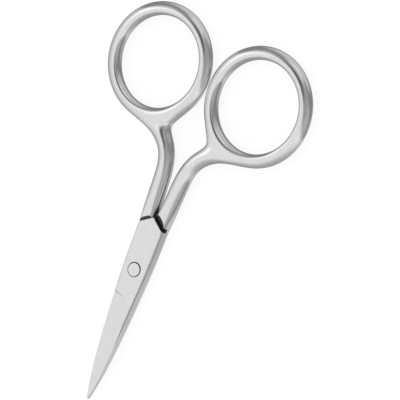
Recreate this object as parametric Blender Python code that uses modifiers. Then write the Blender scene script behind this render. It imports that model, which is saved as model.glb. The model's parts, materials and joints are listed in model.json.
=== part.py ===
"""Small pointed grooming scissors: two forged halves on one flush rivet.

The scissors lie flat and closed. The pivot axis is Z, the tips point along -Y
and the finger rings lie at +Y. The origin is on the pivot axis, at the flat
underside of the blades. Each half is drawn as the front one, about the plane
where the blades meet, and the back half is the same shape after half a turn
about the blade axis.
"""
from math import atan2, cos, pi, radians, sin, tan, tau

import bmesh
import bpy
from mathutils import Matrix, Vector

MM = 0.001

# Pivot to ring centre, and the finger rings, which almost touch when the blades are closed
RING_CENTRE_Y = 50.2 * MM
RING_RADIUS = 13.4 * MM
RING_WIDTH = 3.5 * MM
RING_THICKNESS = 3.25 * MM
RING_GAP = 0.5 * MM
RING_CENTRE_X = RING_RADIUS + RING_WIDTH / 2.0 + RING_GAP / 2.0

# Round shanks
SHANK_WIDTH = 4.5 * MM
SHANK_THICKNESS = 4.1 * MM

# Blades
BLADE_LENGTH = 35.5 * MM
BLADE_HALF_WIDTH = 3.8 * MM
STACK_THICKNESS = 3.3 * MM
BLADE_GAP = 0.1 * MM
ARRIS_RADIUS = 0.3 * MM
ARRIS_END = 15.0 * MM

# Grind on the outer face of each blade
GRIND_START = 7.5 * MM
GRIND_DEPTH = 0.28 * MM
TIP_THICKNESS = 0.3 * MM
GRIND_SKEW = radians(-7.0)

# Shoulders, where the shanks meet the blades
APEX_Y = 14.1 * MM
SHOULDER_ANGLE = radians(34.5)
SHOULDER_SLOPE = radians(37.0)
SHOULDER_GAP = 0.85 * MM

# Rivet
RIVET_HEAD_RADIUS = 1.8 * MM
RIVET_HEAD_HEIGHT = 0.8 * MM
RIVET_SHANK_RADIUS = 1.1 * MM
RIVET_CLEARANCE = 0.25 * MM

# How far cutters run past the faces that they cut
OVERRUN = 1.0 * MM
CUTTER_REACH = 13.0 * MM
MERGE_DISTANCE = 0.01 * MM

# Blade outline from the shoulder to the tip: (length share, half-width share)
OUTLINE_SHARES = ((0.22, 0.955), (0.42, 0.815), (0.64, 0.65), (0.81, 0.445), (0.925, 0.225))
# Shank sections from the ring to the shoulder:
# (x share of the ring centre, y share from pivot to ring centre, turn in degrees, width share)
SHANK_SHARES = (
    (0.552, 0.694, 34.0, 1.08), (0.348, 0.641, 39.0, 0.935), (0.235, 0.579, 26.0, 0.925),
    (0.189, 0.506, 9.0, 0.97), (0.173, 0.416, 4.0, 0.963), (0.155, 0.327, 2.0, 0.935),
    (0.150, 0.257, 1.0, 0.945), (0.149, 0.198, 0.0, 0.93),
)
# A cubic subdivision surface shrinks its cage by these shares
SQUARE_SIDE_SHARE = 11.0 / 12.0
LONG_SIDE_SHARE = 23.0 / 24.0
EDGE_HEIGHT_SHARE = 0.583
CROWN_HEIGHT_SHARE = 1.208

RING_STATIONS = 16
JUNCTION_TURN = radians(-45.0)
STATION_TURN = tau / RING_STATIONS
SUBDIVISIONS = 2
ROUND_SEGMENTS = 48
OUTLINE_RESOLUTION = 5
ARRIS_SEGMENTS = 2

STEEL = (0.80, 0.80, 0.81, 1.0)
STEEL_ROUGHNESS = 0.32


def clear_scene():
    for old in list(bpy.data.objects):
        bpy.data.objects.remove(old, do_unlink=True)


def new_collection(name):
    group = bpy.data.collections.new(name)
    bpy.context.scene.collection.children.link(group)
    return group


def steel(name):
    material = bpy.data.materials.new(name)
    material.use_nodes = True
    shader = material.node_tree.nodes["Principled BSDF"]
    shader.inputs["Base Color"].default_value = STEEL
    shader.inputs["Metallic"].default_value = 1.0
    shader.inputs["Roughness"].default_value = STEEL_ROUGHNESS
    return material


def mesh_object(name, bm, group):
    bmesh.ops.recalc_face_normals(bm, faces=bm.faces[:])
    mesh = bpy.data.meshes.new(name)
    bm.to_mesh(mesh)
    bm.free()
    made = bpy.data.objects.new(name, mesh)
    group.objects.link(made)
    return made


def as_cutter(made):
    made.hide_render = True
    made.display_type = "WIRE"
    return made


def boolean(target, other, operation):
    modifier = target.modifiers.new(operation.lower() + "_" + other.name, "BOOLEAN")
    modifier.object = other
    modifier.operation = operation
    modifier.solver = "EXACT"


def ring_centre():
    return Vector((-RING_CENTRE_X, RING_CENTRE_Y, 0.0))


def ring_cage(bm):
    """A square section spun round the ring's centre, sized so that its smooth surface has the ring's sizes."""
    pull = (2.0 + cos(tau / RING_STATIONS)) / 3.0
    radius = RING_RADIUS / pull
    half_width = RING_WIDTH / 2.0 / (SQUARE_SIDE_SHARE * pull)
    half_height = RING_THICKNESS / 2.0 / SQUARE_SIDE_SHARE
    start = Matrix.Rotation(JUNCTION_TURN, 3, "Z") @ Vector((1.0, 0.0, 0.0))
    up = Vector((0.0, 0.0, 1.0))
    section = [
        bm.verts.new(ring_centre() + start * (radius + side * half_width) + up * (top * half_height))
        for side, top in ((-1, 1), (1, 1), (1, -1), (-1, -1))
    ]
    edges = [bm.edges.new((section[i], section[i - 1])) for i in range(len(section))]
    bmesh.ops.spin(
        bm, geom=section + edges, cent=ring_centre(), axis=up, angle=tau, steps=RING_STATIONS,
        use_merge=True, use_duplicate=False,
    )
    bmesh.ops.remove_doubles(bm, verts=bm.verts[:], dist=MERGE_DISTANCE)
    bmesh.ops.recalc_face_normals(bm, faces=bm.faces[:])


def junction_faces(bm):
    """The two outer faces of the ring from which the shank grows."""
    found = []
    for face in bm.faces:
        arm = face.calc_center_median() - ring_centre()
        outward = face.normal.dot(arm.normalized()) > cos(STATION_TURN)
        turned = JUNCTION_TURN - atan2(arm.y, arm.x)
        if outward and 0.0 < turned < STATION_TURN * 2.0:
            found.append(face)
    return found


def shank_section(shares):
    """The six cage points of one shank section: flare side, crown and crotch side, above and below."""
    x_share, y_share, turn, width_share = shares
    middle = Vector((-RING_CENTRE_X * x_share, RING_CENTRE_Y * y_share, 0.0))
    across = Vector((cos(radians(turn)), sin(radians(turn)), 0.0))
    half_width = SHANK_WIDTH / 2.0 * width_share / LONG_SIDE_SHARE
    places = {}
    for side in (-1, 0, 1):
        share = EDGE_HEIGHT_SHARE if side else CROWN_HEIGHT_SHARE
        for top in (-1, 1):
            height = Vector((0.0, 0.0, SHANK_THICKNESS / 2.0 * share * top))
            places[side, top] = middle + across * (side * half_width) + height
    return places


def grow_shank(bm):
    faces = junction_faces(bm)
    centre = ring_centre()
    roles = {}
    verts = {vert for face in faces for vert in face.verts}
    angles = sorted({round(atan2(v.co.y - centre.y, v.co.x - centre.x), 3) for v in verts})
    for vert in verts:
        angle = round(atan2(vert.co.y - centre.y, vert.co.x - centre.x), 3)
        roles[vert] = (angles.index(angle) - 1, 1 if vert.co.z > 0.0 else -1)
    for shares in SHANK_SHARES:
        old = {tuple(vert.co): role for vert, role in roles.items()}
        grown = bmesh.ops.extrude_face_region(bm, geom=faces)["geom"]
        bmesh.ops.delete(bm, geom=faces, context="FACES")
        faces = [item for item in grown if isinstance(item, bmesh.types.BMFace)]
        places = shank_section(shares)
        roles = {}
        for vert in {vert for face in faces for vert in face.verts}:
            roles[vert] = old[tuple(vert.co)]
        for vert, role in roles.items():
            vert.co = places[role]


def handle(group):
    """Ring and shank as one smooth form, which runs on past the shoulder."""
    bm = bmesh.new()
    ring_cage(bm)
    grow_shank(bm)
    made = mesh_object("handle_form", bm, group)
    smooth = made.modifiers.new("smooth", "SUBSURF")
    smooth.levels = SUBDIVISIONS
    smooth.render_levels = SUBDIVISIONS
    return made


def box_cutter(name, group, low, high, matrix):
    """A box from low to high in its own axes, then placed by the matrix."""
    bm = bmesh.new()
    bmesh.ops.create_cube(bm, size=1.0)
    size = Vector(high) - Vector(low)
    bmesh.ops.scale(bm, vec=size, verts=bm.verts[:])
    bmesh.ops.translate(bm, vec=(Vector(high) + Vector(low)) / 2.0, verts=bm.verts[:])
    bmesh.ops.transform(bm, matrix=matrix, verts=bm.verts[:])
    return as_cutter(mesh_object(name, bm, group))


def shoulder_frame(height, slope):
    """Axes on the left shoulder line: X runs up along it, Y points to the shank."""
    place = Matrix.Translation(Vector((0.0, APEX_Y, height)))
    return place @ Matrix.Rotation(SHOULDER_ANGLE, 4, "Z") @ Matrix.Rotation(-slope, 4, "X")


def shoulder_cutters(group):
    reach = CUTTER_REACH
    outer = box_cutter(
        "shoulder_cutter", group, (-reach, -reach, -reach), (reach, 0.0, reach),
        shoulder_frame(STACK_THICKNESS / 2.0, SHOULDER_SLOPE),
    )
    under = box_cutter(
        "underlap_cutter", group, (-reach, -reach, -reach), (reach, SHOULDER_GAP, BLADE_GAP / 2.0),
        shoulder_frame(0.0, 0.0),
    )
    return outer, under


def blade_side():
    """Plan points of the spine side of the blade, from the shoulder almost to the tip."""
    shoulder_y = APEX_Y - BLADE_HALF_WIDTH * tan(SHOULDER_ANGLE)
    side = [Vector((BLADE_HALF_WIDTH, shoulder_y))]
    for length_share, width_share in OUTLINE_SHARES:
        reached = shoulder_y - (shoulder_y + BLADE_LENGTH) * length_share
        side.append(Vector((BLADE_HALF_WIDTH * width_share, reached)))
    return side


def round_arris(bm):
    """Round the long outer edges of the blade, down to where the grind has taken them away."""
    top = max(vert.co.z for vert in bm.verts)
    arris = [
        edge for edge in bm.edges
        if all(top - vert.co.z < MERGE_DISTANCE and -ARRIS_END < vert.co.y < APEX_Y for vert in edge.verts)
        and edge.calc_face_angle(0.0) > radians(45.0)
        and min(abs(vert.co.x) for vert in edge.verts) > RIVET_HEAD_RADIUS
    ]
    bmesh.ops.bevel(
        bm, geom=arris, offset=ARRIS_RADIUS, offset_type="OFFSET", segments=ARRIS_SEGMENTS, profile=0.5,
        affect="EDGES", clamp_overlap=True,
    )


def blade(group):
    """The blade as a flat outline with a rounded outer arris, running under the shank to join it."""
    side = blade_side()
    tip = Vector((0.0, -BLADE_LENGTH))
    curve = bpy.data.curves.new("blade_outline", "CURVE")
    curve.dimensions = "2D"
    curve.fill_mode = "BOTH"
    half = (STACK_THICKNESS - BLADE_GAP) / 4.0
    curve.extrude = half
    curve.resolution_u = OUTLINE_RESOLUTION
    spline = curve.splines.new("BEZIER")
    join = SHANK_WIDTH / 2.0
    root = Vector((-RING_CENTRE_X * SHANK_SHARES[-2][0], APEX_Y))
    corners = [Vector((0.0, APEX_Y))] + side + [tip]
    corners += [Vector((-point.x, point.y)) for point in reversed(side)]
    corners += [root + Vector((-join / 2.0, join / 2.0)), root + Vector((join / 2.0, join / 2.0))]
    spline.bezier_points.add(len(corners) - 1)
    spline.use_cyclic_u = True
    sharp = {0, 1, len(side) + 1, len(corners) - 3, len(corners) - 2, len(corners) - 1}
    for number, (point, corner) in enumerate(zip(spline.bezier_points, corners)):
        point.co = corner.to_3d()
        kind = "VECTOR" if number in sharp else "AUTO"
        point.handle_left_type = kind
        point.handle_right_type = kind
    drawn = bpy.data.objects.new("blade_outline", curve)
    group.objects.link(drawn)
    bpy.context.view_layer.update()
    graph = bpy.context.evaluated_depsgraph_get()
    mesh = bpy.data.meshes.new_from_object(drawn.evaluated_get(graph))
    bm = bmesh.new()
    bm.from_mesh(mesh)
    bmesh.ops.remove_doubles(bm, verts=bm.verts[:], dist=MERGE_DISTANCE)
    bmesh.ops.translate(bm, vec=(0.0, 0.0, BLADE_GAP / 2.0 + half), verts=bm.verts[:])
    round_arris(bm)
    bpy.data.objects.remove(drawn, do_unlink=True)
    return mesh_object("blade_form", bm, group)


def grind_cutter(group):
    """The ground face slopes down to the tip and to the cutting edge, and starts with a low step."""
    half = STACK_THICKNESS / 2.0
    fall = (half - GRIND_DEPTH - TIP_THICKNESS) / (BLADE_LENGTH - GRIND_START)
    lean = GRIND_DEPTH / (BLADE_HALF_WIDTH * 2.0)
    place = Matrix.Translation(Vector((0.0, -GRIND_START, half - GRIND_DEPTH / 2.0)))
    turn = Matrix.Rotation(GRIND_SKEW, 4, "Z") @ Matrix.Rotation(atan2(fall, 1.0), 4, "X")
    turn = turn @ Matrix.Rotation(-atan2(lean, 1.0), 4, "Y")
    return box_cutter(
        "grind_cutter", group, (-CUTTER_REACH, -BLADE_LENGTH, 0.0), (CUTTER_REACH, 0.0, CUTTER_REACH),
        place @ turn,
    )


def round_cutter(name, group, radius, low, high):
    bm = bmesh.new()
    bmesh.ops.create_cone(
        bm, cap_ends=True, segments=ROUND_SEGMENTS, radius1=radius, radius2=radius, depth=high - low,
    )
    bmesh.ops.translate(bm, vec=(0.0, 0.0, (high + low) / 2.0), verts=bm.verts[:])
    return as_cutter(mesh_object(name, bm, group))


def pivot_cutters(group):
    half = STACK_THICKNESS / 2.0
    seat = half - RIVET_HEAD_HEIGHT - RIVET_CLEARANCE
    head = round_cutter(
        "rivet_seat_cutter", group, RIVET_HEAD_RADIUS + RIVET_CLEARANCE, seat, half + OVERRUN,
    )
    hole = round_cutter(
        "rivet_hole_cutter", group, RIVET_SHANK_RADIUS + RIVET_CLEARANCE, -OVERRUN, half + OVERRUN,
    )
    return head, hole


def place_about_meeting_plane(made, turned):
    turn = Matrix.Rotation(pi if turned else 0.0, 4, "Y")
    lift = Matrix.Translation(Vector((0.0, 0.0, STACK_THICKNESS / 2.0)))
    made.matrix_world = lift @ turn


def half_mesh(cutters):
    """One half, with its joins and cuts applied, about the plane where the blades meet."""
    body = handle(cutters)
    outer, under = shoulder_cutters(cutters)
    slab = blade(cutters)
    as_cutter(slab)
    boolean(body, outer, "DIFFERENCE")
    boolean(body, under, "DIFFERENCE")
    boolean(slab, grind_cutter(cutters), "DIFFERENCE")
    boolean(body, slab, "UNION")
    for cutter in pivot_cutters(cutters):
        boolean(body, cutter, "DIFFERENCE")
    bpy.context.view_layer.update()
    graph = bpy.context.evaluated_depsgraph_get()
    mesh = bpy.data.meshes.new_from_object(body.evaluated_get(graph))
    as_cutter(body)
    return mesh


def half(name, mesh, group, turned):
    made = bpy.data.objects.new(name, mesh.copy())
    made.data.name = name
    made.data.materials.clear()
    made.data.materials.append(steel(name + "_steel"))
    made.data.shade_smooth()
    made.data.set_sharp_from_angle(angle=radians(35.0))
    group.objects.link(made)
    place_about_meeting_plane(made, turned)
    return made


def rivet(group):
    """Turned rivet: flush head, plain shank, and an end closed over in a seat like the head's."""
    top = STACK_THICKNESS / 2.0
    seat = top - RIVET_HEAD_HEIGHT
    profile = (
        (0.0, top), (RIVET_HEAD_RADIUS, top), (RIVET_HEAD_RADIUS, seat), (RIVET_SHANK_RADIUS, seat),
        (RIVET_SHANK_RADIUS, -seat), (RIVET_HEAD_RADIUS, -seat), (RIVET_HEAD_RADIUS, -top), (0.0, -top),
    )
    bm = bmesh.new()
    points = [bm.verts.new((radius, 0.0, height)) for radius, height in profile]
    for first, second in zip(points, points[1:]):
        bm.edges.new((first, second))
    mesh = bpy.data.meshes.new("pivot_rivet")
    bm.to_mesh(mesh)
    bm.free()
    made = bpy.data.objects.new("pivot_rivet", mesh)
    group.objects.link(made)
    screw = made.modifiers.new("turned", "SCREW")
    screw.steps = ROUND_SEGMENTS
    screw.render_steps = ROUND_SEGMENTS
    screw.use_merge_vertices = True
    screw.merge_threshold = MERGE_DISTANCE
    mesh.materials.append(steel("rivet_steel"))
    place_about_meeting_plane(made, False)
    return made


def main():
    clear_scene()
    parts = new_collection("beard_scissors")
    cutters = new_collection("cutters")
    mesh = half_mesh(cutters)
    half("front_half", mesh, parts, False)
    half("back_half", mesh, parts, True)
    rivet(parts)


main()
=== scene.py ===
import json
from math import atan, atan2, cos, pi, radians, sin, tan, tau

import bmesh
import bpy
from bpy.props import FloatProperty, FloatVectorProperty, IntProperty, PointerProperty
from mathutils import Matrix, Vector


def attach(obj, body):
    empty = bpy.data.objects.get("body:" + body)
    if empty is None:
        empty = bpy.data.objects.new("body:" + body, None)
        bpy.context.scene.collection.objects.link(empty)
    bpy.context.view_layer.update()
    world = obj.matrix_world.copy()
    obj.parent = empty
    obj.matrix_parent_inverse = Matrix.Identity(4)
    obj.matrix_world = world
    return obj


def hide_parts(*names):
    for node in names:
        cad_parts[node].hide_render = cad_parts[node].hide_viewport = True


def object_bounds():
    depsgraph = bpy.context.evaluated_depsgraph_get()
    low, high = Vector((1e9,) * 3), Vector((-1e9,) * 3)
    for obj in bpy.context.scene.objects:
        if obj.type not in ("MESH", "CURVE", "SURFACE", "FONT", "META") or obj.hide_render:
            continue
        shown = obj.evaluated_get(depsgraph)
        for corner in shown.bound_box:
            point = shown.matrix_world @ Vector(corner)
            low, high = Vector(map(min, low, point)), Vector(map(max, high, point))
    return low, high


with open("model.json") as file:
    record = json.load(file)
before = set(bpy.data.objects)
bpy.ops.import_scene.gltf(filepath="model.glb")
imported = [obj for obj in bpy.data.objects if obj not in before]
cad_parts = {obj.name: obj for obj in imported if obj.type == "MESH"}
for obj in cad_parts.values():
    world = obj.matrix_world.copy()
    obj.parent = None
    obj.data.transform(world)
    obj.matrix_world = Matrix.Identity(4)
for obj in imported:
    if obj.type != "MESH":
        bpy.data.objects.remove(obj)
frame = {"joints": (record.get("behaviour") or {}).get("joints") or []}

bl_info = {
    "name": "Beard Scissors",
    "version": (1, 0, 0),
    "blender": (4, 5, 0),
    "location": "3D View > Sidebar > Scissors",
    "description": "Builds small pointed grooming scissors in satin steel, with their studio",
    "category": "Add Mesh",
}

CAD_BOX = [list(corner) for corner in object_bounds()]
MEETING_HEIGHT = frame["joints"][0]["pos_m"][2]
MM = 0.001
MERGE = 0.002 * MM
UP = Vector((0.0, 0.0, 1.0))
WHITE = (1.0, 1.0, 1.0, 1.0)

# Blade outline: how far from the shoulder to the tip, and how wide there
OUTLINE_SHARES = ((0.22, 0.955), (0.42, 0.815), (0.64, 0.65), (0.81, 0.445), (0.925, 0.225))
# Shank sections: place sideways and along, degrees turned, width, and how square the section is
SHANK_SHARES = (
    (0.552, 0.694, 34.0, 1.08, 0.583),
    (0.348, 0.641, 39.0, 0.935, 0.583),
    (0.235, 0.579, 26.0, 0.925, 0.583),
    (0.189, 0.506, 9.0, 0.97, 0.583),
    (0.173, 0.416, 4.0, 0.963, 0.583),
    (0.155, 0.327, 2.0, 0.935, 0.9),
    (0.132, 0.257, 1.0, 0.865, 1.17),
    (0.126, 0.198, 0.0, 0.83, 1.17),
)
# The shank leaves the ring over two stations, clockwise from this bearing
SHANK_BEARING = radians(-45.0)
# A cubic subdivision surface shrinks its cage by these shares
SQUARE_SIDE_SHARE = 11.0 / 12.0
LONG_SIDE_SHARE = 23.0 / 24.0

# How far cutters reach past what they cut, by the blade's half width
CUTTER_SHARE = 3.5
# The web above the apex: its corners, and how far round and how high it is painted with shade, by the
# shoulder gap
WEB_LOW_SHARES = (-1.0, -0.5)
WEB_HIGH_SHARES = (0.15, 1.05, 0.8)
WEB_PAINT_SHARES = (1.4, 0.81)

# Arris: at the spine's shoulder, what the spine loses down to the tip, and beside the cutting edge
SHOULDER_ARRIS_SHARE = 0.5
SPINE_LOSS_SHARE = 0.93
EDGE_ARRIS_SHARE = 0.6
ARRIS_SEGMENTS = 6
# Where no arris runs: round the seat and under the shank, by the half width, and at the tip, by its radius
SEAT_CLEAR_SHARE = 0.8
SHANK_COVER_SHARE = 0.8
TIP_CLEAR_SHARE = 5.0

# A face looks a given way or lies flat above these parts of its normal, and stands upright below the last
SAME_WAY = 0.999
FLAT = 0.99
NEARLY_FLAT = 0.9
UPRIGHT = 0.5
# Edges are sharp past the first angle, and between the flat faces of a blade already past the second
SHARP_ANGLE = radians(20.0)
CREASE_ANGLE = radians(0.5)

# The grind's ramp: how much its faces look up and towards the tip, and how much painted shade they carry
RAMP_TILT = 0.4
RAMP_SHADE = 0.4
# Painted shade in the crotch: up to where it is full, and over what it fades, by the apex's height
CROTCH_FULL_SHARE = 1.08
CROTCH_FADE_SHARE = 0.14
# It starts where a face looks this much inward, and is full where it looks inward this much more
CROTCH_FACING = 0.7
CROTCH_FACING_RISE = 0.3

# Noise in the steel: scale, detail, roughness; the polishing marks are drawn out along the blade
GRAIN = (2600.0, 3.0, 0.6)
POLISHING = (3200.0, 2.0, 0.5)
CLOUD = (330.0, 2.0, 0.5)
DRAWN_OUT = (1.0, 0.09, 1.0)
# Shares of grain, polishing marks and cloud in the wear, and the range of wear that turns the steel bright
WEAR_SHARES = (0.5, 0.3, 0.2)
BRIGHT_WEAR = (0.3, 0.7)
RELIEF_STRENGTH = 0.35
# Cover of the painted shade on unworn steel, and what full wear adds
SHADE_COVER = 0.75
SHADE_MOTTLE = 0.4

# The camera's place, the picture's directions to the right and up, and its lens and film in millimetres
CAMERA_PLACE = (0.387177, 0.148134, 0.686222)
CAMERA_RIGHT = (0.789528, 0.355192, -0.500485)
CAMERA_ABOVE = (-0.386225, 0.921327, 0.044581)
LENS = 287.15
FILM_WIDTH = 36.0
CLIP_START = 0.05

FLOOR_SIZE = 0.6
FLOOR_DROP = 0.1 * MM
FLOOR_GREY = (0.16, 0.16, 0.16, 1.0)
FLOOR_GLOW = 0.86

# What the steel reflects: directions go by the camera's axes, and an edge holds the cosines of its rise
ROOM_LIGHT = 0.28
SOFTBOX = (-0.628, -0.722, -0.291)
SOFTBOX_EDGE = (-0.04, 0.1)
SOFTBOX_LIGHT = 0.7
BELOW = (0.0, -1.0, 0.0)
BELOW_EDGE = (0.4, 1.0)
BELOW_DIMMING = 0.65
FORWARD = (0.0, 0.0, 1.0)
FORWARD_EDGE = (-1.2, 0.45)
LIGHT_LIMITS = (0.12, 4.0)
# Lamps and one dark place: direction, half angle and softness in degrees, strength
STUDIO_LIGHTS = (
    ((-0.80, 0.50, 0.34), 15.0, 6.0, 0.45),
    ((-0.10, 0.68, 0.72), 14.0, 8.0, 0.45),
    ((0.38, 0.90, 0.12), 40.0, 12.0, 0.42),
    ((0.0, 0.08, 0.99), 20.0, 18.0, 0.13),
    ((0.40, -0.46, 0.79), 27.0, 15.0, 0.2),
    ((0.75, -0.38, -0.54), 20.0, 14.0, 0.26),
    ((-0.42, 0.38, 0.82), 11.0, 3.0, -0.6),
)


def length(name, description, default):
    """A length that a user can change."""
    return FloatProperty(
        name=name, description=description, default=default, min=0.0, unit="LENGTH", precision=5,
    )


def turn(name, description, degrees):
    """An angle that a user can change."""
    return FloatProperty(name=name, description=description, default=radians(degrees), unit="ROTATION")


def share(name, description, default):
    """A plain number from 0 to 1 that a user can change."""
    return FloatProperty(
        name=name, description=description, default=default, min=0.0, max=1.0, subtype="FACTOR",
    )


def colour(name, description, default):
    """A colour that a user can change."""
    return FloatVectorProperty(
        name=name, description=description, default=default, min=0.0, max=1.0, subtype="COLOR",
    )


class HandleSizes(bpy.types.PropertyGroup):
    """The finger rings and the round shanks."""
    centre_x: length("Ring centre, sideways", "From the pivot axis to the ring's centre, across", 15.4 * MM)
    centre_y: length("Ring centre, along", "From the pivot axis to the ring's centre, along", 50.2 * MM)
    radius: length("Ring radius", "To the middle of the ring's wall", 13.4 * MM)
    width: length("Ring width", "Width of the ring's wall seen from the front", 3.5 * MM)
    thickness: length("Ring thickness", "Height of the ring's wall", 3.25 * MM)
    skew: share("Ring skew", "How much higher the ring is on its inner side", 0.33)
    shank_width: length("Shank width", "Width of the straight shank", 4.5 * MM)
    shank_thickness: length("Shank thickness", "Height of the shank", 4.1 * MM)
    stations: IntProperty(name="Ring stations", description="Cage sections round the ring", default=16, min=8)
    fineness: IntProperty(name="Fineness", description="Subdivision steps", default=4, min=1, max=5)


class BladeSizes(bpy.types.PropertyGroup):
    """The blades, their grind and the shoulders."""
    reach: length("Blade length", "From the pivot axis to the tip", 35.5 * MM)
    half_width: length("Half width", "From the blade's middle to its edge at the shoulder", 3.8 * MM)
    stack: length("Stack thickness", "Both blades together", MEETING_HEIGHT * 2.0)
    gap: length("Blade gap", "Between the inner faces", 0.06 * MM)
    arris: length("Arris radius", "Rounding of the long outer edges", 0.8 * MM)
    grind_start: length("Grind start", "From the pivot axis to the ground face", 7.5 * MM)
    grind_depth: length("Grind depth", "Step at the start of the ground face", 0.28 * MM)
    grind_fade: length("Grind fade", "From the blade's middle to where that step dies out", 0.8 * MM)
    grind_ramp: turn("Grind ramp", "Steepness of that step", 36.0)
    grind_skew: turn("Grind skew", "Turn of the line where the ground face starts", -7.0)
    tip_thickness: length("Tip thickness", "Thickness of one blade at its tip", 0.3 * MM)
    tip_radius: length("Tip radius", "Rounding of the point", 0.09 * MM)
    apex_y: length("Shoulder apex", "From the pivot axis to the top of the shoulders", 14.1 * MM)
    shoulder_angle: turn("Shoulder angle", "Slant of the shoulders in plan", 34.5)
    shoulder_slope: turn("Shoulder slope", "Lean of the shank's end face", 64.0)
    shoulder_gap: length("Shoulder gap", "Between the shank's end and the other blade", 1.0 * MM)


class RivetSizes(bpy.types.PropertyGroup):
    """The flush rivet and its seats."""
    head_radius: length("Head radius", "Radius of the flush head", 1.72 * MM)
    head_height: length("Head height", "Depth of the head in its seat", 0.8 * MM)
    shank_radius: length("Shank radius", "Radius of the pin", 1.1 * MM)
    clearance: length("Clearance", "Gap round the rivet", 0.17 * MM)
    offset: length("Offset", "How far the peened head sits to the lower left in its seat", 0.07 * MM)
    chamfer: length("Chamfer", "Broken edge of the head and of its seat", 0.08 * MM)


class SteelLook(bpy.types.PropertyGroup):
    """The satin steel and the shade painted dark into its recesses."""
    dull: colour("Dull steel", "Colour of the dull spots", (0.69, 0.69, 0.70))
    bright: colour("Bright steel", "Colour of the bright spots", (0.76, 0.76, 0.765))
    # The colour called forging scale is the painted shade of the recesses, and the scale roughness goes with
    # it
    scale: colour("Forging scale", "Colour of the scale", (0.035, 0.035, 0.037))
    roughness: share("Roughness", "Roughness of the smoothest steel", 0.1)
    grain_roughness: share("Grain roughness", "Roughness that the grain adds", 0.14)
    shade_roughness: share("Scale roughness", "Roughness that the scale adds", 0.3)
    relief: length("Relief", "Depth of the grain", 0.012 * MM)


def clamped(value):
    """The value, held between 0 and 1."""
    return min(max(value, 0.0), 1.0)


def cage_points_of_shank(sizes, shares):
    """The six cage points of one shank section: flare side, crown and crotch side, above and below."""
    x_share, y_share, degrees, width_share, edge_share = shares
    # The smooth crown is a third edge and two thirds crown, so this crown keeps the shank's full height
    crown_share = (3.0 - edge_share) / 2.0
    middle = Vector((-sizes.centre_x * x_share, sizes.centre_y * y_share, 0.0))
    across = Vector((cos(radians(degrees)), sin(radians(degrees)), 0.0))
    half_width = sizes.shank_width / 2.0 * width_share / LONG_SIDE_SHARE
    places = {}
    for side in (-1, 0, 1):
        height_share = edge_share if side else crown_share
        for top in (-1, 1):
            height = UP * (sizes.shank_thickness / 2.0 * height_share * top)
            places[side, top] = middle + across * (side * half_width) + height
    return places


def spin_ring(bm, sizes):
    """A square section spun round the ring's centre; its smooth surface has the ring's sizes."""
    centre = Vector((-sizes.centre_x, sizes.centre_y, 0.0))
    # The smooth ring runs inside its cage by this share
    pull_share = (2.0 + cos(tau / sizes.stations)) / 3.0
    half_width = sizes.width / 2.0 / (SQUARE_SIDE_SHARE * pull_share)
    half_height = sizes.thickness / 2.0 / SQUARE_SIDE_SHARE
    start = Matrix.Rotation(SHANK_BEARING, 3, "Z") @ Vector((1.0, 0.0, 0.0))
    section = []
    for side, top in ((-1, 1), (1, 1), (1, -1), (-1, -1)):
        arm = start * (sizes.radius / pull_share + side * half_width)
        section.append(bm.verts.new(centre + arm + UP * (top * half_height)))
    edges = [bm.edges.new((section[i], section[i - 1])) for i in range(len(section))]
    bmesh.ops.spin(
        bm, geom=section + edges, cent=centre, axis=UP, angle=tau, steps=sizes.stations,
        use_merge=True, use_duplicate=False,
    )
    bmesh.ops.remove_doubles(bm, verts=bm.verts[:], dist=MERGE)
    skew_ring(bm, sizes, centre)
    bmesh.ops.recalc_face_normals(bm, faces=bm.faces[:])
    return centre


def skew_ring(bm, sizes, centre):
    """The ring is higher on its inner side, and lower outside, except where the shank leaves it."""
    station = tau / sizes.stations
    middle_of_shank = SHANK_BEARING - station
    for vert in bm.verts:
        arm = vert.co - centre
        bearing = atan2(arm.y, arm.x) - middle_of_shank
        stations_away = abs((bearing + pi) % tau - pi) / station
        if arm.xy.length < sizes.radius:
            vert.co.z *= 1.0 + sizes.skew
        else:
            vert.co.z *= 1.0 - sizes.skew * clamped((stations_away - 1.0) / 2.0)


def extrude_shank(bm, sizes, centre):
    """The shank grows from two outer faces of the ring, section by section."""
    station = tau / sizes.stations
    faces = []
    for face in bm.faces:
        arm = face.calc_center_median() - centre
        outward = face.normal.dot(arm.normalized()) > cos(station)
        turned = SHANK_BEARING - atan2(arm.y, arm.x)
        if outward and 0.0 < turned < station * 2.0:
            faces.append(face)
    verts = {vert for face in faces for vert in face.verts}
    # Rounded, so that the points above and below have one bearing
    bearing = {vert: round(atan2(vert.co.y - centre.y, vert.co.x - centre.x), 3) for vert in verts}
    order = sorted(set(bearing.values()))
    roles = {vert: (order.index(bearing[vert]) - 1, 1 if vert.co.z > 0.0 else -1) for vert in verts}
    for shares in SHANK_SHARES:
        before = {tuple(vert.co): role for vert, role in roles.items()}
        grown = bmesh.ops.extrude_face_region(bm, geom=faces)["geom"]
        bmesh.ops.delete(bm, geom=faces, context="FACES")
        faces = [item for item in grown if isinstance(item, bmesh.types.BMFace)]
        places = cage_points_of_shank(sizes, shares)
        roles = {vert: before[tuple(vert.co)] for vert in {vert for face in faces for vert in face.verts}}
        for vert, role in roles.items():
            vert.co = places[role]


def new_object(name, bm):
    """The bmesh as an object of the scene, with its faces pointing outwards."""
    bmesh.ops.recalc_face_normals(bm, faces=bm.faces[:])
    mesh = bpy.data.meshes.new(name)
    bm.to_mesh(mesh)
    bm.free()
    made = bpy.data.objects.new(name, mesh)
    bpy.context.scene.collection.objects.link(made)
    return made


def evaluated_mesh(made):
    """A mesh of the object as it looks with its modifiers, or of a curve as it is drawn."""
    bpy.context.view_layer.update()
    graph = bpy.context.evaluated_depsgraph_get()
    return bpy.data.meshes.new_from_object(made.evaluated_get(graph))


def apply_modifiers(made):
    """Work the object's modifiers into its mesh."""
    mesh = evaluated_mesh(made)
    old = made.data
    made.modifiers.clear()
    made.data = mesh
    bpy.data.meshes.remove(old)


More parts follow.
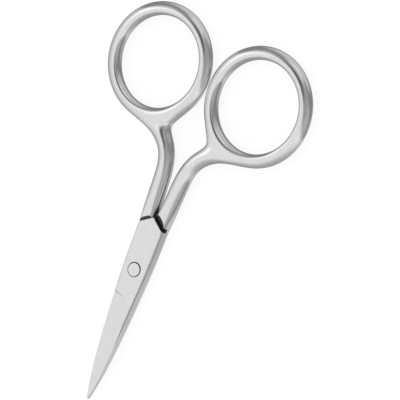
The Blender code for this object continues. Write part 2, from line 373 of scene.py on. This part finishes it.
def cut(target, cutter, operation="DIFFERENCE"):
    """Cut the target with the cutter, or unite them, and use the cutter up."""
    modifier = target.modifiers.new("cut", "BOOLEAN")
    modifier.object = cutter
    modifier.operation = operation
    modifier.solver = "EXACT"
    apply_modifiers(target)
    bpy.data.objects.remove(cutter, do_unlink=True)


def box_cutter(low, high, matrix):
    """A box from low to high in its own axes, then placed by the matrix."""
    bm = bmesh.new()
    bmesh.ops.create_cube(bm, size=1.0)
    size = Vector(high) - Vector(low)
    bmesh.ops.scale(bm, vec=size, verts=bm.verts[:])
    bmesh.ops.translate(bm, vec=(Vector(high) + Vector(low)) / 2.0, verts=bm.verts[:])
    bmesh.ops.transform(bm, matrix=matrix, verts=bm.verts[:])
    return new_object("cutter", bm)


def turned_form(name, profile, segments=96):
    """A closed round form, spun from (radius, height) points from the top of the axis to its foot."""
    bm = bmesh.new()
    points = [bm.verts.new((radius, 0.0, height)) for radius, height in profile]
    edges = [bm.edges.new(pair) for pair in zip(points, points[1:])]
    bmesh.ops.spin(
        bm, geom=points + edges, cent=(0.0, 0.0, 0.0), axis=UP, angle=tau, steps=segments,
        use_merge=True, use_duplicate=False,
    )
    bmesh.ops.remove_doubles(bm, verts=bm.verts[:], dist=MERGE)
    return new_object(name, bm)


def handle_form(handle, blade):
    """Ring and shank as one smooth form, cut to its shoulder faces, with the web above the apex."""
    bm = bmesh.new()
    centre = spin_ring(bm, handle)
    extrude_shank(bm, handle, centre)
    made = new_object("handle", bm)
    smooth = made.modifiers.new("smooth", "SUBSURF")
    smooth.levels = handle.fineness
    smooth.render_levels = smooth.levels
    apply_modifiers(made)
    cut_shoulder(made, blade)
    cut(made, web_box(blade), "UNION")
    return made


def cut_shoulder(made, blade):
    """Room for the other blade below, an upright end above, and both ends leaning back past the stack."""
    reach = blade.half_width * CUTTER_SHARE
    shoulder = Matrix.Translation((0.0, blade.apex_y, 0.0)) @ Matrix.Rotation(blade.shoulder_angle, 4, "Z")
    cut(made, box_cutter((-reach, -reach, -reach), (reach, blade.shoulder_gap, 0.0), shoulder))
    cut(made, box_cutter((-reach, -reach, 0.0), (reach, 0.0, reach), shoulder))
    for side, set_back in ((1, 0.0), (-1, blade.shoulder_gap)):
        foot = Matrix.Translation((0.0, set_back, blade.stack / 2.0 * side))
        leaning = shoulder @ foot @ Matrix.Rotation(-blade.shoulder_slope * side, 4, "X")
        cut(made, box_cutter((-reach, -reach, -reach), (reach, 0.0, reach), leaning))


def web_box(blade):
    """The small box that closes the view between the shanks above the apex; it is painted dark as shade."""
    gap = blade.shoulder_gap
    low = [gap * web_share for web_share in WEB_LOW_SHARES] + [blade.gap / 2.0]
    high = [gap * web_share for web_share in WEB_HIGH_SHARES]
    return box_cutter(low, high, Matrix.Translation((0.0, blade.apex_y, 0.0)))


def shoulder_foot(blade):
    """How far along the blade its shoulders end and its long sides start."""
    return blade.apex_y - blade.half_width * tan(blade.shoulder_angle)


def outline_points(handle, blade):
    """Corners of the blade in plan: (point, whether the outline turns sharply there)."""
    shoulder_y = shoulder_foot(blade)
    side = [Vector((blade.half_width, shoulder_y, 0.0))]
    for length_share, width_share in OUTLINE_SHARES:
        reached = shoulder_y - (shoulder_y + blade.reach) * length_share
        side.append(Vector((blade.half_width * width_share, reached, 0.0)))
    point = [
        (Vector((blade.tip_radius, blade.tip_radius - blade.reach, 0.0)), False),
        (Vector((0.0, -blade.reach, 0.0)), False),
        (Vector((-blade.tip_radius, blade.tip_radius - blade.reach, 0.0)), False),
    ]
    # The blade's root stands in the shank, at its last section but one
    root_share = SHANK_SHARES[-2][0]
    join = handle.shank_width / 4.0
    root = Vector((-handle.centre_x * root_share, blade.apex_y, 0.0))
    neck = Vector((root.x + join, blade.apex_y + (root.x + join) * tan(blade.shoulder_angle), 0.0))
    corners = [(Vector((0.0, blade.apex_y, 0.0)), True), (side[0], True)]
    corners += [(spot, False) for spot in side[1:]] + point
    corners += [(Vector((-spot.x, spot.y, 0.0)), False) for spot in reversed(side[1:])]
    corners += [(Vector((-side[0].x, side[0].y, 0.0)), True)]
    corners += [(root + Vector((join * way, join, 0.0)), True) for way in (-1.0, 1.0)] + [(neck, True)]
    return corners


def outline_loop(handle, blade, resolution=14):
    """The blade's outline as a smooth closed curve, read as a ring of vertices."""
    curve = bpy.data.curves.new("outline", "CURVE")
    curve.dimensions = "2D"
    curve.fill_mode = "NONE"
    curve.resolution_u = resolution
    spline = curve.splines.new("BEZIER")
    corners = outline_points(handle, blade)
    spline.bezier_points.add(len(corners) - 1)
    spline.use_cyclic_u = True
    for point, (place, sharp) in zip(spline.bezier_points, corners):
        point.co = place
        point.handle_left_type = "VECTOR" if sharp else "AUTO"
        point.handle_right_type = "VECTOR" if sharp else "AUTO"
    drawn = bpy.data.objects.new("outline", curve)
    bpy.context.scene.collection.objects.link(drawn)
    mesh = evaluated_mesh(drawn)
    bpy.data.objects.remove(drawn, do_unlink=True)
    bm = bmesh.new()
    bm.from_mesh(mesh)
    bpy.data.meshes.remove(mesh)
    bmesh.ops.remove_doubles(bm, verts=bm.verts[:], dist=blade.tip_radius / 3.0)
    return bm


def grind_matrix(blade):
    """Place and tilt of the ground face, whose starting step fades past the blade's middle."""
    lean = blade.grind_depth / (blade.half_width + blade.grind_fade)
    place = Vector((0.0, -blade.grind_start, blade.stack / 2.0 - lean * blade.grind_fade))
    fall = (place.z - blade.tip_thickness) / (blade.reach - blade.grind_start)
    skewed = Matrix.Translation(place) @ Matrix.Rotation(blade.grind_skew, 4, "Z")
    return skewed @ Matrix.Rotation(atan(fall), 4, "X") @ Matrix.Rotation(-atan(lean), 4, "Y")


def ground_cutter(blade):
    """A box over the ground face, whose end wall leans back as the ramp of the starting step."""
    reach = blade.half_width * CUTTER_SHARE
    cutter = box_cutter((-reach, -blade.reach, 0.0), (reach, 0.0, reach), Matrix.Identity(4))
    for vert in cutter.data.vertices:
        if vert.co.y > -MERGE and vert.co.z > MERGE:
            vert.co.y = reach / tan(blade.grind_ramp)
    cutter.data.transform(grind_matrix(blade))
    return cutter


def arris_share(blade, middle):
    """The spine is round nearly to the tip, and the cutting edge's side above its ground face only."""
    on_shoulder = middle.y > shoulder_foot(blade) + MERGE
    if middle.x > 0.0:
        spine_share = 1.0 - SPINE_LOSS_SHARE * clamped(-middle.y / blade.reach) ** 2
        return SHOULDER_ARRIS_SHARE if on_shoulder else spine_share
    if on_shoulder and middle.x > -blade.half_width * SHANK_COVER_SHARE:
        return 0.0
    return EDGE_ARRIS_SHARE * clamped(2.0 + middle.y / blade.grind_start)


def weigh_edges(mesh, blade):
    """Give each upper edge of the blade its share of the arris as its bevel weight."""
    bm = bmesh.new()
    bm.from_mesh(mesh)
    weights = {}
    for edge in bm.edges:
        middle = (edge.verts[0].co + edge.verts[1].co) / 2.0
        upper = min(vert.co.z for vert in edge.verts) > blade.gap
        crease = sum(abs(face.normal.z) > NEARLY_FLAT for face in edge.link_faces) == 1
        near_tip = middle.y < blade.tip_radius * TIP_CLEAR_SHARE - blade.reach
        in_seat = middle.xy.length < blade.half_width * SEAT_CLEAR_SHARE
        in_shank = middle.y >= blade.apex_y - blade.gap
        if upper and crease and not (near_tip or in_seat or in_shank):
            weights[edge.index] = arris_share(blade, middle)
    bm.free()
    layer = mesh.attributes.new("bevel_weight_edge", "FLOAT", "EDGE")
    for number, weight in weights.items():
        layer.data[number].value = weight


def round_edges(made, blade):
    """Round the upper edges, each by its own share of the arris."""
    weigh_edges(made.data, blade)
    bevel = made.modifiers.new("arris", "BEVEL")
    bevel.limit_method = "WEIGHT"
    bevel.width = blade.arris
    bevel.segments = ARRIS_SEGMENTS
    bevel.profile = 0.5
    bevel.use_clamp_overlap = False
    apply_modifiers(made)
    made.data.attributes.remove(made.data.attributes["bevel_weight_edge"])


def seat_cutter(rivet, blade):
    """The stepped hole for the rivet, with a broken edge at its mouth."""
    top = blade.stack / 2.0
    seat = top - rivet.head_height - rivet.clearance
    wide = rivet.head_radius + rivet.clearance
    narrow = rivet.shank_radius + rivet.clearance
    over = blade.arris
    return turned_form("seat", (
        (0.0, top + over), (wide + rivet.chamfer + over, top + over), (wide, top - rivet.chamfer),
        (wide, seat), (narrow, seat), (narrow, -over), (0.0, -over),
    ))


def blade_form(handle, blade, rivet):
    """The blade as a flat bar with its shoulder, its rivet seat, its rounded arris and its ground face."""
    bm = outline_loop(handle, blade)
    face = bmesh.ops.contextual_create(bm, geom=bm.edges[:])["faces"][0]
    low = blade.gap / 2.0
    bmesh.ops.translate(bm, vec=UP * low, verts=bm.verts[:])
    grown = bmesh.ops.extrude_face_region(bm, geom=[face])["geom"]
    moved = [item for item in grown if isinstance(item, bmesh.types.BMVert)]
    bmesh.ops.translate(bm, vec=UP * (blade.stack / 2.0 - low), verts=moved)
    made = new_object("blade", bm)
    cut(made, seat_cutter(rivet, blade))
    # The arris comes before the grind, because a bevel along the grind's crease would fold over itself
    round_edges(made, blade)
    cut(made, ground_cutter(blade))
    return made


def paint_shade(mesh, shade_at):
    """Store the painted shade at every face corner, worked out from the face and the corner's place."""
    # The attribute keeps the name scale, but holds painted shade for the recesses
    marks = mesh.attributes.new("scale", "FLOAT", "CORNER").data
    for face in mesh.polygons:
        for corner in face.loop_indices:
            marks[corner].value = shade_at(face, mesh.vertices[mesh.loops[corner].vertex_index].co)


def paint_half(mesh, blade, rivet):
    """Painted shade darkens the recesses that light reaches least: shank ends, notch, web, seat, crotch and
    ramp.
    """
    facing = Matrix.Rotation(blade.shoulder_angle, 3, "Z") @ Vector((0.0, -1.0, 0.0))
    level, rise = facing * cos(blade.shoulder_slope), UP * sin(blade.shoulder_slope)
    end_ways = (facing, level - rise, level + rise)
    apex = Vector((0.0, blade.apex_y, 0.0))
    shoulder_depth = blade.shoulder_gap + blade.half_width / 2.0
    web_reach, web_top = (blade.shoulder_gap * web_share for web_share in WEB_PAINT_SHARES)
    seat_radius = rivet.head_radius + rivet.clearance * 2.0
    seat_height = blade.stack / 2.0 - rivet.head_height / 2.0

    # Each corner's painted shade: full on shank ends, notch, web and seat, fading in the crotch, part of it
    # on the grind's ramp
    def shade_at(face, place):
        spot, normal = face.center, face.normal
        at_shoulder = -MERGE < facing.dot(apex - spot) < shoulder_depth
        shank_end = at_shoulder and max(normal.dot(way) for way in end_ways) > SAME_WAY
        notch = at_shoulder and normal.z < -SAME_WAY and abs(spot.z) < MERGE
        web = 0.0 < spot.z < web_top and (spot - apex).length < web_reach
        sunk = spot.xy.length < seat_radius and (abs(normal.z) < UPRIGHT or spot.z < seat_height)
        if shank_end or notch or web or sunk:
            return 1.0
        if at_shoulder:
            inward = clamped((normal.x - CROTCH_FACING) / CROTCH_FACING_RISE)
            return inward * clamped(1.0 - (place.y / blade.apex_y - CROTCH_FULL_SHARE) / CROTCH_FADE_SHARE)
        near_ramp = abs(spot.y + blade.grind_start) < blade.arris
        return RAMP_SHADE if near_ramp and normal.y < -RAMP_TILT and normal.z > RAMP_TILT else 0.0

    paint_shade(mesh, shade_at)


def keep_flats_crisp(made):
    """The ground face meets the blade's flat at a low angle, where smooth shading would smear both."""
    bm = bmesh.new()
    bm.from_mesh(made.data)
    for edge in bm.edges:
        flat = len(edge.link_faces) == 2 and min(abs(face.normal.z) for face in edge.link_faces) > FLAT
        if flat and max(vert.co.y for vert in edge.verts) < 0.0 and edge.calc_face_angle() > CREASE_ANGLE:
            edge.smooth = False
    bm.to_mesh(made.data)
    bm.free()


def set_in_place(made, flipped):
    """Turn a back half about the blade axis, lift the piece to where the blades meet, and shade it."""
    bm = bmesh.new()
    bm.from_mesh(made.data)
    spun = Matrix.Rotation(pi if flipped else 0.0, 4, "Y")
    bmesh.ops.transform(bm, matrix=Matrix.Translation(UP * MEETING_HEIGHT) @ spun, verts=bm.verts[:])
    bmesh.ops.dissolve_degenerate(bm, dist=MERGE, edges=bm.edges[:])
    bmesh.ops.triangulate(bm, faces=[face for face in bm.faces if len(face.verts) > 4])
    bm.to_mesh(made.data)
    bm.free()
    made.data.shade_smooth()
    made.data.set_sharp_from_angle(angle=SHARP_ANGLE)
    keep_flats_crisp(made)
    weighted = made.modifiers.new("weighted", "WEIGHTED_NORMAL")
    weighted.keep_sharp = True
    apply_modifiers(made)


def half_form(scene, name, flipped):
    """One half: ring, shank and blade in one forging."""
    handle, blade, rivet = scene.scissors_handle, scene.scissors_blade, scene.scissors_rivet
    made = handle_form(handle, blade)
    made.name = name
    cut(made, blade_form(handle, blade, rivet), "UNION")
    paint_half(made.data, blade, rivet)
    set_in_place(made, flipped)
    made.data.name = name
    return made


def rivet_form(scene, name):
    """The rivet with a flush head at either end, set off centre in its seats, its upright walls painted dark
    as shade.
    """
    blade, rivet = scene.scissors_blade, scene.scissors_rivet
    top = blade.stack / 2.0
    seat = top - rivet.head_height
    edge = rivet.chamfer
    upper = [
        (0.0, top), (rivet.head_radius - edge, top), (rivet.head_radius, top - edge),
        (rivet.head_radius, seat), (rivet.shank_radius, seat),
    ]
    made = turned_form(name, upper + [(radius, -height) for radius, height in reversed(upper)])
    # Painted shade on the rivet's upright walls inside its seats
    paint_shade(made.data, lambda face, place: 1.0 if abs(face.normal.z) < UPRIGHT else 0.0)
    made.data.transform(Matrix.Translation((-rivet.offset, -rivet.offset, 0.0)))
    set_in_place(made, False)
    return made


def dress(made, material, node, body):
    """Give the piece its material, and put it in the place of its node in the frame."""
    made.data.materials.clear()
    made.data.materials.append(material)
    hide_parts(node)
    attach(made, body)


class Wire:
    """An output socket that can be reckoned with."""

    def __init__(self, graph, socket):
        self.graph = graph
        self.socket = socket

    def reckon(self, operation, *values):
        """A Math node on these values."""
        return self.graph.node("ShaderNodeMath", dict(enumerate(values)), operation=operation)

    def __add__(self, other):
        return self.reckon("ADD", self, other)

    def __radd__(self, other):
        return self.reckon("ADD", other, self)

    def __sub__(self, other):
        return self.reckon("SUBTRACT", self, other)

    def __rsub__(self, other):
        return self.reckon("SUBTRACT", other, self)

    def __mul__(self, other):
        return self.reckon("MULTIPLY", self, other)

    def __rmul__(self, other):
        return self.reckon("MULTIPLY", other, self)

    def clamped(self, low, high):
        """The value, held between low and high."""
        return self.reckon("MINIMUM", self.reckon("MAXIMUM", self, low), high)

    def dot(self, vector):
        """How far this direction looks the way of the vector."""
        return self.graph.node("ShaderNodeVectorMath", {0: self, 1: vector}, "Value", operation="DOT_PRODUCT")

    def scaled(self, vector):
        """This place, stretched along each axis."""
        return self.graph.node("ShaderNodeVectorMath", {0: self, 1: vector}, operation="MULTIPLY")

    def step(self, low, high):
        """A smooth rise from 0 at low to 1 at high."""
        values = {"Value": self, "From Min": low, "From Max": high}
        return self.graph.node("ShaderNodeMapRange", values, interpolation_type="SMOOTHSTEP")


class Graph:
    """A node tree of a material or a world."""

    def __init__(self, owner):
        owner.use_nodes = True
        self.tree = owner.node_tree
        self.tree.nodes.clear()

    def feed(self, socket, value):
        """Link a wire to the socket, or set the socket to a plain value."""
        if isinstance(value, Wire):
            self.tree.links.new(value.socket, socket)
        else:
            socket.default_value = value

    def node(self, kind, values=None, output=0, **settings):
        """A node with its settings and what goes into its sockets, and the wire of one of its outputs."""
        made = self.tree.nodes.new(kind)
        for name, value in settings.items():
            setattr(made, name, value)
        for key, value in (values or {}).items():
            self.feed(made.inputs[key], value)
        return Wire(self, made.outputs[output]) if len(made.outputs) else None

    def noise(self, place, scale, detail, roughness):
        """A noise texture over these places."""
        values = {"Vector": place, "Scale": scale, "Detail": detail, "Roughness": roughness}
        return self.node("ShaderNodeTexNoise", values)

    def blend(self, factor, first, second):
        """From the first colour to the second; a Mix node has its colour sockets at 6, 7 and output 2."""
        return self.node("ShaderNodeMix", {"Factor": factor, 6: first, 7: second}, 2, data_type="RGBA")


def satin_steel(look, name):
    """Polished and lightly blasted steel with fine polishing marks, darkened by painted shade where the scale
    attribute marks the recesses.
    """
    material = bpy.data.materials.new(name)
    graph = Graph(material)
    place = graph.node("ShaderNodeTexCoord", output="Object")
    grain = graph.noise(place, *GRAIN)
    marks = graph.noise(place.scaled(DRAWN_OUT), *POLISHING)
    cloud = graph.noise(place, *CLOUD)
    grain_share, marks_share, cloud_share = WEAR_SHARES
    wear = grain_share * grain + marks_share * marks + cloud_share * cloud
    relief_values = {"Strength": RELIEF_STRENGTH, "Distance": look.relief, "Height": wear}
    relief = graph.node("ShaderNodeBump", relief_values)
    clean = graph.blend(wear.step(*BRIGHT_WEAR), (*look.dull, 1.0), (*look.bright, 1.0))
    # The scale attribute carries the painted shade of the recesses, mixed into the colour here
    scale = graph.node("ShaderNodeAttribute", output="Fac", attribute_name="scale")
    dark = scale * (SHADE_COVER + SHADE_MOTTLE * wear).clamped(0.0, 1.0)
    steel = graph.node("ShaderNodeBsdfPrincipled", {
        "Base Color": graph.blend(dark, clean, (*look.scale, 1.0)),
        "Metallic": 1.0,
        "Roughness": look.roughness + look.grain_roughness * wear + look.shade_roughness * scale,
        "Normal": relief,
    })
    graph.node("ShaderNodeOutputMaterial", {"Surface": steel})
    return material


def set_camera(scene):
    """The camera, whose axes (to the right, up and back) are given back."""
    camera = bpy.data.objects.new("camera", bpy.data.cameras.new("camera"))
    scene.collection.objects.link(camera)
    scene.camera = camera
    camera.data.lens = LENS
    camera.data.sensor_width = FILM_WIDTH
    camera.data.clip_start = CLIP_START
    camera.location = CAMERA_PLACE
    right = Vector(CAMERA_RIGHT).normalized()
    above = Vector(CAMERA_ABOVE).normalized()
    axes = Matrix((right, above, right.cross(above)))
    camera.rotation_euler = axes.transposed().to_euler()
    return axes


def white_floor():
    """A white floor that keeps a faint shadow and isn't seen in the steel."""
    material = bpy.data.materials.new("floor_white")
    graph = Graph(material)
    matt = graph.node("ShaderNodeBsdfDiffuse", {"Color": FLOOR_GREY})
    glow = graph.node("ShaderNodeEmission", {"Color": WHITE, "Strength": FLOOR_GLOW})
    white = graph.node("ShaderNodeAddShader", {0: matt, 1: glow})
    clear = graph.node("ShaderNodeBsdfTransparent")
    mirrored = graph.node("ShaderNodeLightPath", output="Is Glossy Ray")
    seen = graph.node("ShaderNodeMixShader", {0: mirrored, 1: white, 2: clear})
    graph.node("ShaderNodeOutputMaterial", {"Surface": seen})
    return material


def studio_world(axes):
    """White to the eye; the steel reflects a wide softbox on the left, lamps and the dark of the room."""
    world = bpy.data.worlds.new("studio")
    graph = Graph(world)
    bearing = graph.node("ShaderNodeTexCoord", output="Generated")

    def towards(direction):
        return bearing.dot(tuple(axes.transposed() @ Vector(direction).normalized()))

    softbox = towards(SOFTBOX).step(*SOFTBOX_EDGE)
    below = towards(BELOW).step(*BELOW_EDGE)
    forward = towards(FORWARD).step(*FORWARD_EDGE)
    light = ROOM_LIGHT + SOFTBOX_LIGHT * softbox * forward * (1.0 - BELOW_DIMMING * below)
    for direction, half, soft, strength in STUDIO_LIGHTS:
        lamp = towards(direction).step(cos(radians(half + soft)), cos(radians(half - soft)))
        light = light + strength * lamp
    mirrored = graph.node("ShaderNodeLightPath", output="Is Glossy Ray")
    glow = mirrored * light.clamped(*LIGHT_LIMITS) + (1.0 - mirrored)
    sky = graph.node("ShaderNodeBackground", {"Color": WHITE, "Strength": glow})
    graph.node("ShaderNodeOutputWorld", {"Surface": sky})
    return world


class SCISSORS_OT_front_half(bpy.types.Operator):
    """Forge the front half: left ring, shank and upper blade"""
    bl_idname = "scissors.front_half"
    bl_label = "Front half"

    def execute(self, context):
        made = half_form(context.scene, "front_half_forging", False)
        steel = satin_steel(context.scene.scissors_steel, "front_half_satin")
        dress(made, steel, "front_half", "front")
        return {"FINISHED"}


class SCISSORS_OT_back_half(bpy.types.Operator):
    """Forge the back half: right ring, shank and lower blade"""
    bl_idname = "scissors.back_half"
    bl_label = "Back half"

    def execute(self, context):
        made = half_form(context.scene, "back_half_forging", True)
        steel = satin_steel(context.scene.scissors_steel, "back_half_satin")
        dress(made, steel, "back_half", "back")
        return {"FINISHED"}


class SCISSORS_OT_rivet(bpy.types.Operator):
    """Turn the flush pivot rivet"""
    bl_idname = "scissors.rivet"
    bl_label = "Pivot rivet"

    def execute(self, context):
        made = rivet_form(context.scene, "pivot_rivet_turned")
        steel = satin_steel(context.scene.scissors_steel, "rivet_satin")
        dress(made, steel, "pivot_rivet", "back")
        return {"FINISHED"}


class SCISSORS_OT_studio(bpy.types.Operator):
    """Set up the floor, the light and the camera"""
    bl_idname = "scissors.studio"
    bl_label = "Studio"

    def execute(self, context):
        scene = context.scene
        axes = set_camera(scene)
        bm = bmesh.new()
        bmesh.ops.create_grid(bm, x_segments=1, y_segments=1, size=FLOOR_SIZE)
        bmesh.ops.translate(bm, vec=(0.0, 0.0, CAD_BOX[0][2] - FLOOR_DROP), verts=bm.verts[:])
        floor = new_object("floor", bm)
        floor.data.materials.append(white_floor())
        scene.world = studio_world(axes)
        scene.view_settings.view_transform = "Standard"
        return {"FINISHED"}


class SCISSORS_PT_sidebar(bpy.types.Panel):
    """The steps that build the scissors"""
    bl_idname = "SCISSORS_PT_sidebar"
    bl_label = "Beard scissors"
    bl_space_type = "VIEW_3D"
    bl_region_type = "UI"
    bl_category = "Scissors"

    def draw(self, context):
        for step in STEPS:
            self.layout.operator(step.bl_idname)


STEPS = (SCISSORS_OT_front_half, SCISSORS_OT_back_half, SCISSORS_OT_rivet, SCISSORS_OT_studio)
SETTINGS = {
    "scissors_handle": HandleSizes,
    "scissors_blade": BladeSizes,
    "scissors_rivet": RivetSizes,
    "scissors_steel": SteelLook,
}
CLASSES = (*SETTINGS.values(), *STEPS, SCISSORS_PT_sidebar)


def register():
    """Make the steps and the settings known."""
    for kind in CLASSES:
        bpy.utils.register_class(kind)
    for name, kind in SETTINGS.items():
        setattr(bpy.types.Scene, name, PointerProperty(type=kind))


def unregister():
    """Take the settings and the steps away again."""
    for name in SETTINGS:
        delattr(bpy.types.Scene, name)
    for kind in reversed(CLASSES):
        bpy.utils.unregister_class(kind)


def main():
    """Build the scissors and their studio."""
    register()
    bpy.ops.scissors.front_half()
    bpy.ops.scissors.back_half()
    bpy.ops.scissors.rivet()
    bpy.ops.scissors.studio()


if __name__ == "__main__":
    main()
